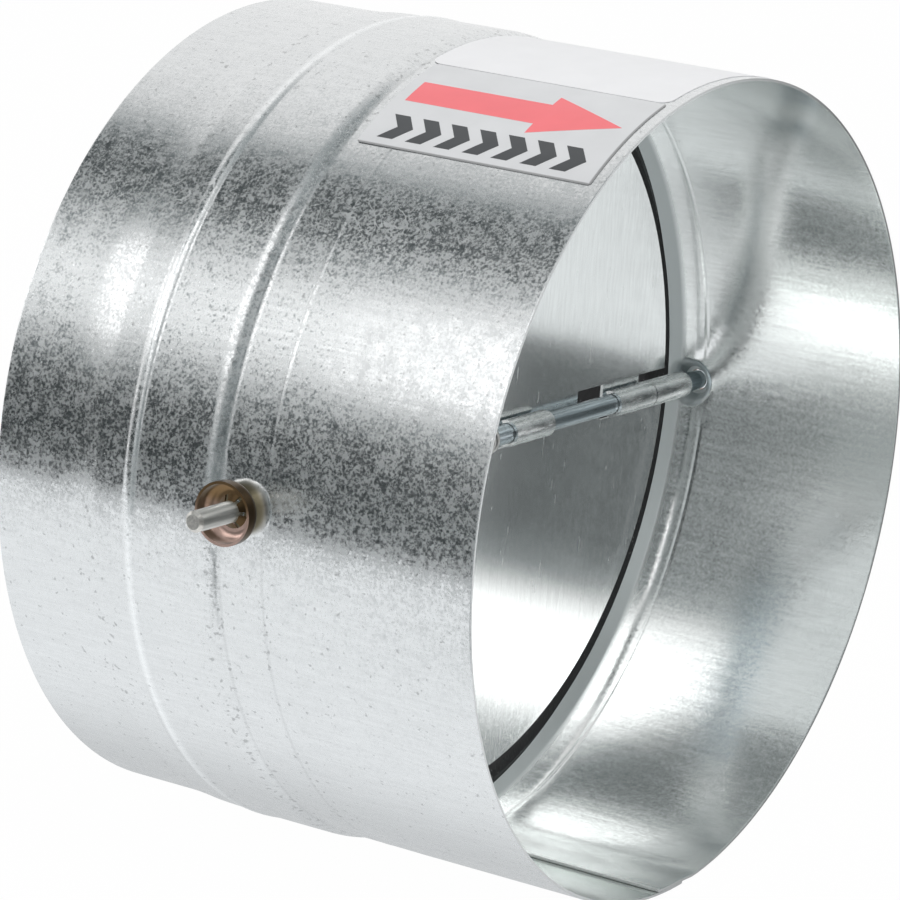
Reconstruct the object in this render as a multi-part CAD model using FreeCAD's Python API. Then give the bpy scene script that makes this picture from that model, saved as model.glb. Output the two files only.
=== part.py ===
import FreeCAD
import Part
import math
import os

# Spring-loaded backdraft damper for a round air duct, in millimetres.
# The origin is the middle of the casing, on its axis. Air flows along +X, the hinge shaft lies
# along Y with its near end at -Y, and +Z is up.

Vector = FreeCAD.Vector
ORIGIN = Vector(0, 0, 0)
ALONG = Vector(1, 0, 0)
ACROSS = Vector(0, 1, 0)
UP = Vector(0, 0, 1)

# Casing: a rolled tube of galvanised sheet
casing_diameter = 159.0
inlet_length = 57.0
outlet_length = 49.0
casing_sheet = 0.5
lap_angle = 178.4
lap_width = 9.0
lap_feather = 0.03

# Stiffening bead and hinge groove rolled into the casing, upstream to downstream
bead_ramp = 6.9
bead_width = 19.2
bead_drop = 4.8
bead_height = 0.8
crest_width = 1.6
crest_height = 0.35
groove_upstream = 3.4
groove_downstream = 3.8
groove_depth = 0.3
groove_rise = 7.2

# Bosses embossed outwards round the shaft holes
boss_radius = 5.0
boss_height = 4.0
boss_shoulder = 1.5
boss_flare = 2.0
boss_sink = 0.4
boss_root = 2.0

# Hinge shaft
shaft_diameter = 4.0
shaft_rise = 1.2
shaft_end_out = 8.7
shaft_chamfer = 0.6
shaft_hole_clearance = 0.2

# Push-on washers, dished, with teeth that grip the shaft
washer_radius = 6.0
washer_height = 3.9
washer_sheet = 0.5
washer_foot = 3.8
washer_tooth_root = 3.2
washer_tooth_lift = 0.9
washer_slots = 6
washer_slot_width = 0.7
washer_grip_clearance = 0.03

# Blades: half-moon sheets hung on the shaft by rolled knuckles
blade_sheet = 0.6
blade_margin = 6.8
blade_edge_gap = 0.8
hinge_clearance = 0.1
roll_sweep = 300.0
knuckle_width = 14.0
knuckle_gap = 0.3
end_gap = 3.0
spring_bay = 16.0
notch_clearance = 1.0
relief_width = 9.8

# Seal ring: a strip along the inside of the bead with a lip that the blades shut on
seal_gap = 0.2
seal_lap = 2.7
seal_length = 26.1
seal_lip = 4.0
seal_strip = 2.2
seal_flat_margin = 1.9
seal_slope = 2.7
seal_round = 1.4
seal_bond = 0.05

# Torsion spring on the shaft, one leg on each blade
spring_wire = 0.9
spring_turns = 6
spring_length = 8.4
spring_place = -3.1
spring_clearance = 0.15
spring_leg = 28.0
spring_leg_gap = 0.1

# Labels on the casing; angles run from the top towards the near side
label_thickness = 0.12
label_to_rim = 2.3
flow_label_length = 50.5
flow_label_angles = (15.9, 36.0)
flow_label_corner = 0.8
plain_label_length = 52.1
plain_label_angles = (-26.0, 15.6)
plain_label_corner = 2.5

# Places that follow from the sizes above
casing_length = inlet_length + outlet_length
inlet_x = -casing_length / 2
outlet_x = casing_length / 2
shaft_x = inlet_x + inlet_length
collar_radius = casing_diameter / 2
bead_radius = collar_radius + bead_height
groove_radius = collar_radius - groove_depth
groove_start = shaft_x - groove_upstream
groove_end = shaft_x + groove_downstream
bead_end = groove_start - bead_drop
bead_top = bead_end - bead_width
bead_start = bead_top - bead_ramp
plain_start = groove_end + groove_rise
wall_inside = groove_radius - casing_sheet
shaft_radius = shaft_diameter / 2
boss_face = groove_radius + boss_height
boss_foot = math.sqrt(groove_radius ** 2 - (shaft_rise + boss_radius + boss_flare) ** 2) - boss_sink
shaft_end = boss_face + washer_height + shaft_end_out
knuckle_inner = shaft_radius + hinge_clearance
knuckle_outer = knuckle_inner + blade_sheet
blade_radius = wall_inside - blade_margin
notch_height = knuckle_outer + notch_clearance
seal_face = shaft_x - knuckle_outer - seal_gap
seal_radius = blade_radius - shaft_rise - seal_lap
seal_flat_radius = blade_radius + shaft_rise + seal_flat_margin

# Knuckles along the shaft on the far side; the same stamping turned over gives the other blade
end_outer = wall_inside - end_gap
end_inner = end_outer - knuckle_width
side_outer = end_inner - knuckle_gap
side_inner = side_outer - knuckle_width
middle_inner = spring_bay / 2
middle_outer = middle_inner + knuckle_width
own_knuckles = [(-end_outer, -end_inner), (middle_inner, middle_outer), (side_inner, side_outer)]


def wall_line(inset=0.0):
    """Points (x, radius) along the casing sheet, inlet to outlet, set in from its outer face."""
    points = [
        (inlet_x, collar_radius),
        (bead_start, collar_radius),
        (bead_top, bead_radius),
        (bead_top + crest_width / 2, bead_radius + crest_height),
        (bead_top + crest_width, bead_radius),
        (bead_end, bead_radius),
        (groove_start, groove_radius),
        (groove_end, groove_radius),
        (plain_start, collar_radius),
        (outlet_x, collar_radius),
    ]
    return [(x, radius - inset) for x, radius in points]


def wall_radius(x):
    """Outside radius of the casing sheet at a place along it."""
    points = wall_line()
    for (x0, r0), (x1, r1) in zip(points, points[1:]):
        if x0 <= x <= x1:
            return r0 + (r1 - r0) * (x - x0) / (x1 - x0)


def wall_stretch(start, end, lift):
    """Points (x, radius) of the casing's outer face between two places, lifted off it."""
    inner = [(x, r) for x, r in wall_line() if start < x < end]
    points = [(start, wall_radius(start))] + inner + [(end, wall_radius(end))]
    return [(x, r + lift) for x, r in points]


def profile_wire(points):
    """Closed outline through (x, radius) points, standing above the casing axis."""
    corners = [Vector(x, 0, radius) for x, radius in points]
    return Part.makePolygon(corners + corners[:1])


def turned(points, start=0.0, sweep=360.0):
    """Outline turned about the casing axis, from the top towards the near side."""
    solid = Part.Face(profile_wire(points)).revolve(ORIGIN, ALONG, sweep)
    solid.rotate(ORIGIN, ALONG, start)
    return solid


def arc_edge(centre, radius, start, end):
    """Arc in the XZ plane between two angles in degrees, from +X towards +Z."""
    def at(angle):
        turn = math.radians(angle)
        return centre + Vector(radius * math.cos(turn), 0, radius * math.sin(turn))

    return Part.Arc(at(start), at((start + end) / 2), at(end)).toShape()


def joined_face(pieces):
    """Flat face bounded by arcs and by straight runs that close the gaps between them."""
    edges = []
    last = pieces[-1].lastVertex(True).Point
    for piece in pieces:
        first = piece.firstVertex(True).Point
        if last.distanceToPoint(first) > 1e-6:
            edges.append(Part.makeLine(last, first))
        edges.append(piece)
        last = piece.lastVertex(True).Point
    return Part.Face(Part.Wire(edges))


def on_shaft(solid, side):
    """Solid turned about Z, moved so that its axis is the shaft's, pointing out at one side."""
    solid.rotate(ORIGIN, ALONG, -90 if side > 0 else 90)
    solid.translate(Vector(shaft_x, 0, shaft_rise))
    return solid


def lap_strip():
    """Inner edge of the sheet where it laps over itself, feathered out into the wall."""
    def section(proud, angle):
        outer = wall_line(casing_sheet / 2)
        inner = wall_line(casing_sheet + proud)
        wire = profile_wire(outer + inner[::-1])
        wire.rotate(ORIGIN, ALONG, angle)
        return wire

    feather_angle = lap_angle + math.degrees(lap_width / collar_radius)
    edges = [section(casing_sheet, lap_angle), section(lap_feather, feather_angle)]
    return Part.makeLoft(edges, True, True)


def boss_solid(inset):
    """Round boss about Z, its foot in the casing wall, set in by the sheet for its hollow."""
    flare = Vector(boss_radius + boss_flare, 0, boss_foot + boss_flare)
    shoulder = Vector(boss_radius - boss_shoulder, 0, boss_face - boss_shoulder)
    outline = joined_face([
        Part.makeLine(Vector(0, 0, boss_foot - boss_root), Vector(flare.x, 0, boss_foot - boss_root)),
        arc_edge(flare, boss_flare + inset, 270, 180),
        arc_edge(shoulder, boss_shoulder - inset, 0, 90),
        Part.makeLine(Vector(0, 0, boss_face - inset), Vector(0, 0, boss_foot)),
    ])
    return outline.revolve(ORIGIN, UP, 360)


def casing():
    """Beaded tube with its lap seam, bosses and shaft holes."""
    body = turned(wall_line() + wall_line(casing_sheet)[::-1])
    body = body.fuse(lap_strip())
    for side in (-1, 1):
        body = body.fuse(on_shaft(boss_solid(0.0), side))
        body = body.cut(on_shaft(boss_solid(casing_sheet), side))
    hole_radius = shaft_radius + shaft_hole_clearance
    holes = Part.makeCylinder(hole_radius, 2 * shaft_end, Vector(shaft_x, -shaft_end, shaft_rise), ACROSS)
    return body.cut(holes).removeSplitter()


def seal_ring():
    """Ring on the casing wall: a strip in the bead, and a lip that slopes back to the wall."""
    back = seal_face - seal_length
    lip_back = seal_face - seal_lip
    strip_radius = wall_inside - seal_strip
    wall_edge = seal_face - seal_slope
    beyond = bead_radius + crest_height
    section = joined_face([
        Part.makeLine(Vector(back, 0, beyond), Vector(back, 0, strip_radius)),
        Part.makeLine(Vector(lip_back, 0, strip_radius), Vector(lip_back, 0, seal_radius + seal_round)),
        arc_edge(Vector(lip_back + seal_round, 0, seal_radius + seal_round), seal_round, 180, 270),
        arc_edge(Vector(seal_face - seal_round, 0, seal_radius + seal_round), seal_round, 270, 360),
        Part.makeLine(Vector(seal_face, 0, seal_flat_radius), Vector(wall_edge, 0, wall_inside)),
        Part.makeLine(Vector(wall_edge, 0, beyond), Vector(back, 0, beyond)),
    ])
    ring = section.revolve(ORIGIN, ALONG, 360)
    inside = wall_line(casing_sheet + seal_bond)
    bore = turned([(inlet_x, 0)] + inside + [(outlet_x, 0)])
    ring = ring.common(bore).cut(lap_strip())
    foot_radius = boss_radius + boss_flare + seal_bond
    feet = Part.makeCylinder(foot_radius, 2 * shaft_end, Vector(shaft_x, -shaft_end, shaft_rise), ACROSS)
    between = Part.makeCylinder(boss_foot - boss_root, casing_length, Vector(inlet_x, 0, 0), ALONG)
    return ring.cut(feet.cut(between))


def shaft():
    """Plain rod with chamfered ends."""
    rod = Part.makeCylinder(shaft_radius, 2 * shaft_end, Vector(shaft_x, -shaft_end, shaft_rise), ACROSS)
    ends = [edge for edge in rod.Edges if abs(abs(edge.CenterOfMass.y) - shaft_end) < 1e-6]
    return rod.makeChamfer(shaft_chamfer, ends)


def push_washer(side):
    """Dished washer on a boss face, its middle cut into teeth that rise along the shaft."""
    grip = shaft_radius + washer_grip_clearance
    bowl = washer_radius - washer_foot
    centre = Vector(washer_foot, 0, bowl)
    tooth_top = washer_tooth_lift + washer_sheet
    tooth = Part.makePolygon([
        Vector(washer_tooth_root, 0, washer_sheet),
        Vector(grip, 0, tooth_top),
        Vector(grip, 0, washer_tooth_lift),
        Vector(washer_tooth_root, 0, 0),
    ]).Edges
    rim = Part.makeLine(
        Vector(washer_radius, 0, washer_height), Vector(washer_radius - washer_sheet, 0, washer_height)
    )
    outline = joined_face(tooth + [
        arc_edge(centre, bowl, 270, 360),
        rim,
        arc_edge(centre, bowl - washer_sheet, 360, 270),
    ])
    body = outline.revolve(ORIGIN, UP, 360)
    for index in range(washer_slots):
        slot = Part.makeBox(
            washer_tooth_root, washer_slot_width, washer_height, Vector(0, -washer_slot_width / 2, 0)
        )
        slot.rotate(ORIGIN, UP, index * 360 / washer_slots)
        body = body.cut(slot)
    body.translate(Vector(0, 0, boss_face))
    return on_shaft(body, side)


def plate_box(start, end, height):
    """Block through the blade sheet beside the hinge line, between two places along it."""
    return Part.makeBox(blade_sheet, end - start, height, Vector(-knuckle_outer, start, 0))


def blade():
    """Half-moon sheet above a hinge on the Y axis, with rolled knuckles and notches between them."""
    plate = Part.makeCylinder(blade_radius, blade_sheet, Vector(-knuckle_outer, 0, 0), ALONG)
    lower_half = Part.makeBox(
        blade_sheet,
        2 * blade_radius,
        blade_radius + blade_edge_gap / 2,
        Vector(-knuckle_outer, -blade_radius, -blade_radius),
    )
    body = plate.cut(lower_half)
    body = body.cut(plate_box(-middle_inner, middle_inner, notch_height))
    body = body.cut(plate_box(side_inner - relief_width, side_inner, notch_height))
    for start, end in own_knuckles:
        body = body.cut(plate_box(-end - knuckle_gap, -start + knuckle_gap, notch_height))
    roll = joined_face([
        arc_edge(ORIGIN, knuckle_outer, 180, 180 + roll_sweep),
        arc_edge(ORIGIN, knuckle_inner, 180 + roll_sweep, 180),
    ])
    for start, end in own_knuckles:
        knuckle = roll.extrude(Vector(0, end - start, 0))
        knuckle.translate(Vector(0, start, 0))
        body = body.fuse([knuckle, plate_box(start, end, notch_height)])
    return body.removeSplitter()


def hung_blade(turned_over):
    """Blade on the shaft, shut: upright, or the same stamping turned over to hang below."""
    body = blade()
    if turned_over:
        body.rotate(ORIGIN, ALONG, 180)
    body.translate(Vector(shaft_x, 0, shaft_rise))
    return body


def half_spring():
    """Half of the coil about the Y axis, from the lower leg to the middle, with that leg."""
    wire_radius = spring_wire / 2
    coil_radius = shaft_radius + spring_clearance + wire_radius
    tip = Vector(wire_radius + spring_leg_gap - knuckle_inner, -spring_length / 2, -spring_leg)
    reach = math.hypot(tip.x, tip.z)
    lean = math.degrees(math.atan2(-tip.x, -tip.z) + math.asin(coil_radius / reach))
    turns = spring_turns / 2 + lean / 360
    coil = Part.makeHelix(spring_length / 2 / turns, spring_length / 2, coil_radius, 0, True)
    coil.rotate(ORIGIN, ALONG, -90)
    coil.rotate(ORIGIN, ACROSS, lean)
    coil.translate(Vector(0, tip.y, 0))
    path = Part.Wire(coil.Edges)
    root = path.OrderedVertexes[0].Point
    first = path.OrderedEdges[0]
    section = Part.makeCircle(wire_radius, root, first.tangentAt(first.FirstParameter))
    wound = path.makePipeShell([Part.Wire(section)], True, True)
    leg = Part.makeCylinder(wire_radius, (tip - root).Length, root, tip - root)
    return wound.fuse([leg, Part.makeSphere(wire_radius, root), Part.makeSphere(wire_radius, tip)])


def torsion_spring():
    """Open coil round the shaft, the same half twice over, with a leg leaning on each blade."""
    upper = half_spring()
    upper.rotate(ORIGIN, ALONG, 180)
    body = half_spring().fuse(upper).removeSplitter()
    body.translate(Vector(shaft_x, spring_place, shaft_rise))
    return body


def label(length, angles, corner):
    """Thin sheet on the casing with rounded corners, following the wall along the flow."""
    end = outlet_x - label_to_rim
    start = end - length
    face = wall_stretch(start, end, 0.0)
    skin = turned(face + wall_stretch(start, end, label_thickness)[::-1])
    half_width = collar_radius * math.sin(math.radians(angles[1] - angles[0]) / 2)
    outline = Part.makeBox(length, 2 * half_width, casing_diameter, Vector(start, -half_width, 0))
    corners = [edge for edge in outline.Edges if abs(edge.Length - casing_diameter) < 1e-6]
    outline = outline.makeFillet(corner, corners)
    outline.rotate(ORIGIN, ALONG, (angles[0] + angles[1]) / 2)
    return skin.common(outline)


parts = {
    "casing": casing(),
    "seal_ring": seal_ring(),
    "shaft": shaft(),
    "near_push_washer": push_washer(-1),
    "far_push_washer": push_washer(1),
    "upper_blade": hung_blade(False),
    "lower_blade": hung_blade(True),
    "torsion_spring": torsion_spring(),
    "flow_label": label(flow_label_length, flow_label_angles, flow_label_corner),
    "plain_label": label(plain_label_length, plain_label_angles, plain_label_corner),
}

os.makedirs("parts", exist_ok=True)
for name, shape in parts.items():
    shape.exportStep("parts/" + name + ".step")
    print(name, shape.ShapeType, len(shape.Solids), shape.isValid(), round(shape.Volume, 2))
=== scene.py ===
import math

import bpy
from bpy.props import FloatProperty, FloatVectorProperty, IntProperty, PointerProperty
from bpy.types import Operator, Panel, PropertyGroup
from mathutils import Matrix, Vector


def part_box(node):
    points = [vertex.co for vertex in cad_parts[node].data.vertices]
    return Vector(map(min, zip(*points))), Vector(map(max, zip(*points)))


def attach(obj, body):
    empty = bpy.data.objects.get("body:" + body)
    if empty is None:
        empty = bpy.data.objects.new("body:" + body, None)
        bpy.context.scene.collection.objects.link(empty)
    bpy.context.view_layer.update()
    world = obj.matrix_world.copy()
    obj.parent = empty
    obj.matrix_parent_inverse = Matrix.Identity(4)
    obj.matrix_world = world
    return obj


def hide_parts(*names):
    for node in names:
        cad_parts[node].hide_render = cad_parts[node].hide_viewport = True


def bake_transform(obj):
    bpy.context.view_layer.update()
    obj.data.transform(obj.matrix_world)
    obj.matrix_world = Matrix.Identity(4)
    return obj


bl_info = {
    "name": "Duct Backdraft Damper",
    "version": (1, 0, 0),
    "blender": (4, 5, 0),
    "location": "View3D > Sidebar > Damper",
    "description": "Dresses a packed backdraft damper in sheet, rubber and labels, in a small studio",
    "category": "Object",
}

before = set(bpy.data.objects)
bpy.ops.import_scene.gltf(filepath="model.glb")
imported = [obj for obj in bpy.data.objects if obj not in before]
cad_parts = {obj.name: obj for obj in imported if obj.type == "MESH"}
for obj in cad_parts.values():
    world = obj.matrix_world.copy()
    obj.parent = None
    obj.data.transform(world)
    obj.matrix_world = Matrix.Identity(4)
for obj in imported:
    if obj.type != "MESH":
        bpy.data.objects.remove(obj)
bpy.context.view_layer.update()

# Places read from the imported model, in metres
CASING_LOW, CASING_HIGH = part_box("casing")
SHAFT_LOW, SHAFT_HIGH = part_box("shaft")
SPRING_LOW, SPRING_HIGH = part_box("torsion_spring")
FLOW_LOW, FLOW_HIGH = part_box("flow_label")
PLAIN_LOW, PLAIN_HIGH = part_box("plain_label")
WASHER_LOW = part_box("far_push_washer")[0]
SEAL_LOW, SEAL_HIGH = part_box("seal_ring")
INLET_X = CASING_LOW.x
OUTLET_X = CASING_HIGH.x
SHAFT_X = (SHAFT_LOW.x + SHAFT_HIGH.x) / 2
SHAFT_Z = (SHAFT_LOW.z + SHAFT_HIGH.z) / 2
SHAFT_RADIUS = (SHAFT_HIGH.x - SHAFT_LOW.x) / 2

SHARP_ANGLE = math.radians(50)
WHITE = (1.0, 1.0, 1.0, 1.0)


def length(name, default, description):
    """A size in metres that a user may change."""
    return FloatProperty(
        name=name, description=description, default=default, precision=5, subtype="DISTANCE", unit="LENGTH"
    )


def angle(name, degrees, description):
    """An angle that a user may change."""
    return FloatProperty(
        name=name, description=description, default=math.radians(degrees), subtype="ANGLE", unit="ROTATION"
    )


def share(name, default, description):
    """A plain number that a user may change."""
    return FloatProperty(name=name, description=description, default=default, precision=4)


def colour(name, default, description):
    """A linear colour that a user may change."""
    return FloatVectorProperty(
        name=name, description=description, default=default, size=3, subtype="COLOR", min=0.0, max=1.0
    )


class CasingSettings(PropertyGroup):
    """Sizes of the rolled casing; places along it are counted from the shaft."""

    sheet: length("Sheet", 0.0005, "Thickness of the sheet")
    bead_height: length("Bead height", 0.0008, "How far the bead stands out of the collar")
    crest_height: length("Crest height", 0.00035, "How far the crest line stands out of the bead")
    crest_width: length("Crest width", 0.0029, "Width of the crest line")
    crest_peak: length("Crest peak", 0.0015, "From the start of the crest line to its top")
    groove_depth: length("Groove depth", 0.00008, "How far the hinge groove lies below the collar")
    bead_foot: length("Bead foot", -0.0390, "Middle of the long bend from the collar up to the bead")
    bead_sweep: length("Bead sweep", 0.0090, "Width of that long bend")
    bead_line: length("Bead line", -0.0338, "Where the rise ends in a firm bend")
    bead_rise: length("Bead rise", 0.00060, "Height of the bead at that bend")
    bead_top: length("Bead top", -0.0273, "Where the bead meets its crest line")
    bead_end: length("Bead end", -0.0082, "Where the bead starts to drop")
    groove_start: length("Groove start", -0.0058, "Upstream edge of the hinge groove")
    groove_end: length("Groove end", 0.0038, "Downstream edge of the hinge groove")
    plain_start: length("Plain start", 0.0110, "Where the outlet collar becomes plain")
    crease_level: share("Crease level", 0.6, "Depth of the groove at its end, as a share of its depth")
    crease_height: length("Crease height", 0.00004, "Height of the line rolled at the end of the groove")
    crease_width: length("Crease width", 0.0012, "Width of that line")
    soft_bend: length("Soft bend", 0.0030, "Width of a gently rolled bend")
    firm_bend: length("Firm bend", 0.0012, "Width of a firmly rolled bend")
    crest_bend: length("Crest bend", 0.0016, "Width of the bend on top of the crest line")
    crest_foot: length("Crest foot", 0.0006, "Width of the bends at the feet of the crest line")
    edge_round: length("Edge round", 0.00012, "Rounding of the cut edges")
    edge_band: length("Edge band", 0.0003, "Width of the narrow faces along a cut edge")
    lap_angle: angle("Lap edge", 178.4, "Inner edge of the lap seam, from the top to the near side")
    lap_width: length("Lap width", 0.009, "How far the sheet laps over itself")
    lap_lift: length("Lap lift", 0.0001, "How far the inner edge of the lap springs up")
    # Painted highlight along the lap edge, and painted shade on the strip beside it
    lap_highlight_width: angle("Lap burr", 0.5, "Width of the bright burr along the lap edge")
    lap_strip: angle("Lap strip", 9.0, "Width of the dull strip beside the lap edge")
    lap_step: angle("Lap step", 3.0, "Turn over which the sheet steps in below itself")
    turn_steps: IntProperty(name="Turn steps", description="Columns round the casing", default=240, min=24)
    boss_radius: length("Boss radius", 0.0040, "Radius of the boss at mid height")
    boss_flare: length("Boss flare", 0.0017, "Hollow curve at the foot of the boss")
    boss_tip: length("Boss tip", 0.0035, "Radius of the boss at its face")
    boss_window: length("Boss window", 0.0105, "Half size of the patch that the boss is raised from")
    shaft_play: length("Shaft play", 0.0002, "Gap between the shaft and its hole")


class FinishSettings(PropertyGroup):
    """Colours and grain of the metal and rubber."""

    zinc: colour("Zinc", (0.79, 0.805, 0.81), "Galvanised casing, outside")
    inner_zinc: colour("Inner zinc", (0.89, 0.905, 0.90), "Galvanised casing, inside")
    blade_zinc: colour("Blade zinc", (0.88, 0.895, 0.89), "Galvanised blades")
    # Painted shade: a dark olive zinc on the bosses outside, standing in for their shade and dark
    # reflections
    boss_shade_zinc: colour("Boss zinc", (0.17, 0.15, 0.10), "Bosses, stained by the washers")
    hollow_zinc: colour("Hollow zinc", (0.84, 0.87, 0.86), "Hollows of the bosses, inside")
    # Painted shade: the wall just past the seal is darker, in place of the shade beside the seal
    seal_shade_zinc: colour("Dull zinc", (0.56, 0.60, 0.60), "Strip of the wall beside the seal, inside")
    # Painted shade: a darker, greener zinc on the strip beside the lap seam
    lap_shade_zinc: colour("Lap zinc", (0.60, 0.66, 0.63), "Dull strip beside the lap seam, inside")
    edge_zinc: colour("Edge zinc", (0.74, 0.75, 0.75), "Cut edges of the casing")
    rod_zinc: colour("Rod zinc", (0.60, 0.67, 0.71), "Plated hinge shaft")
    # Painted light: the shaft's ends outside the casing take a lighter, warmer copy of its colour
    lit_rod_end: colour("Rod end", (0.74, 0.72, 0.68), "Ends of the hinge shaft outside the casing")
    bronze: colour("Bronze", (0.22, 0.14, 0.07), "Push-on washers, upper part")
    # Painted highlight: the lower part of the washers is copper
    copper_highlight: colour("Copper", (0.74, 0.52, 0.45), "Push-on washers, lower part")
    highlight_low: length("Copper low", -0.0015, "Height above the shaft where the washers are all copper")
    highlight_high: length("Copper high", 0.0045, "Height above the shaft where the copper has gone")
    # Reach of a noise that moves the edge of the painted copper highlight
    mottle_reach: length("Stain reach", 0.003, "How far stains shift the edge of the copper")
    spring: colour("Spring", (0.46, 0.46, 0.45), "Spring wire")
    rubber: colour("Rubber", (0.012, 0.012, 0.013), "Seal ring")
    dust: colour("Dust", (0.35, 0.35, 0.34), "Dust on the seal ring")
    edge_round: length("Edge round", 0.00012, "Rounding of the blades' cut edges")
    grain: length("Grain", 0.00060, "Size of a patch of zinc crystals")
    grain_tilt: share("Grain tilt", 0.14, "How far the crystals lean outside, as a slope")
    spark_tilt: share("Spark tilt", 1.3, "How far single crystals lean outside, as a slope")
    inner_tilt: share("Inner tilt", 0.11, "How far the crystals lean inside, as a slope")
    knuckle_tilt: share("Knuckle tilt", 0.09, "How far the crystals lean on the knuckles, as a slope")
    smooth_grain: share("Smooth grain", 0.06, "Roughness of the smoothest crystals outside")
    rough_grain: share("Rough grain", 0.50, "Roughness of the roughest crystals outside")
    rolling_lean: share("Rolling lean", 0.04, "How far the sheet leans in streaks, as a slope")
    inner_roughness: share("Inner roughness", 0.16, "Roughness of the casing inside")
    blade_roughness: share("Blade roughness", 0.18, "Roughness of the blades")
    blade_wear: share("Blade wear", 0.15, "Roughness that scratches add to the blades")
    boss_roughness: share("Boss roughness", 0.45, "Roughness of the bosses")
    hollow_roughness: share("Hollow roughness", 0.60, "Roughness of the hollows of the bosses, inside")
    edge_roughness: share("Edge roughness", 0.55, "Roughness of cut edges")
    rod_roughness: share("Rod roughness", 0.18, "Roughness of the hinge shaft in the casing")
    rod_end_roughness: share("Rod end roughness", 0.34, "Roughness of the shaft's ends")
    washer_roughness: share("Washer roughness", 0.33, "Roughness of the push-on washers")
    spring_roughness: share("Spring roughness", 0.3, "Roughness of the spring wire")
    rubber_roughness: share("Rubber roughness", 0.62, "Roughness of the seal ring")
    seal_shade_start: length("Dull start", 0.0005, "From the seal to where the dull strip starts to fade")
    seal_shade_end: length("Dull end", 0.0021, "From the seal to where the dull strip has gone")
    far_rim_shade: share("Far rim", 0.35, "Shade of the cut edge on the far side")


class LabelSettings(PropertyGroup):
    """Sizes and colours of the two labels and their print."""

    lift: length("Lift", 0.00012, "Thickness of a label")
    print_lift: length("Print lift", 0.00002, "Height of the print above a label")
    flow_corner: length("Flow corner", 0.0008, "Corner radius of the flow label")
    plain_corner: length("Plain corner", 0.0025, "Corner radius of the plain label")
    arrow_tail: length("Arrow tail", -0.0013, "Tail of the arrow, from the shaft")
    arrow_neck: length("Arrow neck", 0.0268, "Where the arrow's head starts")
    arrow_tip: length("Arrow tip", 0.04375, "Tip of the arrow")
    arrow_angle: angle("Arrow angle", 23.9, "Middle of the arrow, from the top to the near side")
    arrow_stem: angle("Arrow stem", 5.0, "Width of the arrow's stem")
    arrow_head: angle("Arrow head", 9.45, "Width of the arrow's head")
    chevron_start: length("Chevron start", -0.0006, "Start of the row of chevrons, from the shaft")
    chevron_end: length("Chevron end", 0.0430, "End of the row of chevrons")
    chevron_low: angle("Chevron low", 29.6, "Upper edge of the chevrons, from the top to the near side")
    chevron_high: angle("Chevron high", 34.5, "Lower edge of the chevrons")
    chevron_stroke: share("Chevron stroke", 0.55, "Thickness of a chevron, as a share of their pitch")
    chevron_point: share("Chevron point", 0.42, "How far a chevron points, as a share of their pitch")
    # Painted shadow of the flow label's edges, along its end and lower edge
    edge_line: length("Edge line", 0.0003, "Width of the dark line along two edges of the flow label")
    edge_shade: share("Edge shade", 0.40, "Shade of that line")
    film: colour("Film", (0.70, 0.712, 0.725), "Silver-grey flow label")
    paper: colour("Paper", (0.86, 0.865, 0.88), "White label")
    red: colour("Red", (0.93, 0.19, 0.21), "Flow arrow")
    ink: colour("Ink", (0.06, 0.065, 0.07), "Dark print")


class StudioSettings(PropertyGroup):
    """Camera, floor and light."""

    camera_azimuth: angle("Camera azimuth", 32.20, "Turn of the camera from the near side to the outlet")
    camera_elevation: angle("Camera elevation", 13.49, "Height of the camera above the horizon")
    camera_distance: length("Camera distance", 0.8976, "From the camera to the point it aims at")
    camera_roll: angle("Camera roll", 4.525, "Tilt of the camera about its line of sight")
    camera_aim: FloatVectorProperty(
        name="Camera aim", description="Point in the middle of the picture",
        default=(-0.00138, -0.00373, -0.00131), size=3, subtype="XYZ", unit="LENGTH",
    )
    lens: share("Lens", 184.35, "Focal length in millimetres")
    sensor: share("Sensor", 36.0, "Width of the sensor in millimetres")
    clip_start: length("Clip start", 0.01, "Nearest distance that the camera shows")
    clip_end: length("Clip end", 20.0, "Farthest distance that the camera shows")
    floor_left: length("Floor left", -0.28, "Front edge of the white sheet, left of the damper's middle")
    floor_right: length("Floor right", -0.15, "Front edge of the white sheet, right of the damper's middle")
    floor_glow: share("Floor glow", 0.985, "How far the sheet is washed out to white")
    floor_paint: colour("Floor paint", (0.9, 0.9, 0.9), "Colour of the sheet on matt surfaces")
    floor_tint: colour("Floor tint", (0.965, 0.985, 1.0), "Colour of the sheet as the metal mirrors it")
    shade: share("Shade", 0.70, "Brightness of the sheet right below the damper")
    shade_inner: length("Shade inner", 0.030, "Half width of the darkest strip below the damper")
    shade_outer: length("Shade outer", 0.070, "Where the strip below the damper is white again")
    floor_side: length("Floor side", 1.5, "Half width of that sheet")
    floor_back: length("Floor back", 1.3, "Back edge of that sheet")
    tent_radius: length("Tent radius", 2.0, "Radius of the light tent about the damper")
    tent_side: length("Tent side", 3.2, "Half length of the light tent")
    card_gap: length("Card gap", 0.0003, "From the shaft back to the sheet that the wall mirrors")
    dark_tint: colour("Dark tint", (0.84, 0.97, 1.0), "Colour of the dark cloth of the tent")
    ambient: share("Ambient", 0.55, "Strength of the world on matt surfaces")
    bounces: IntProperty(name="Bounces", description="Mirrored bounces inside the tube", default=12, min=1)


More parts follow.
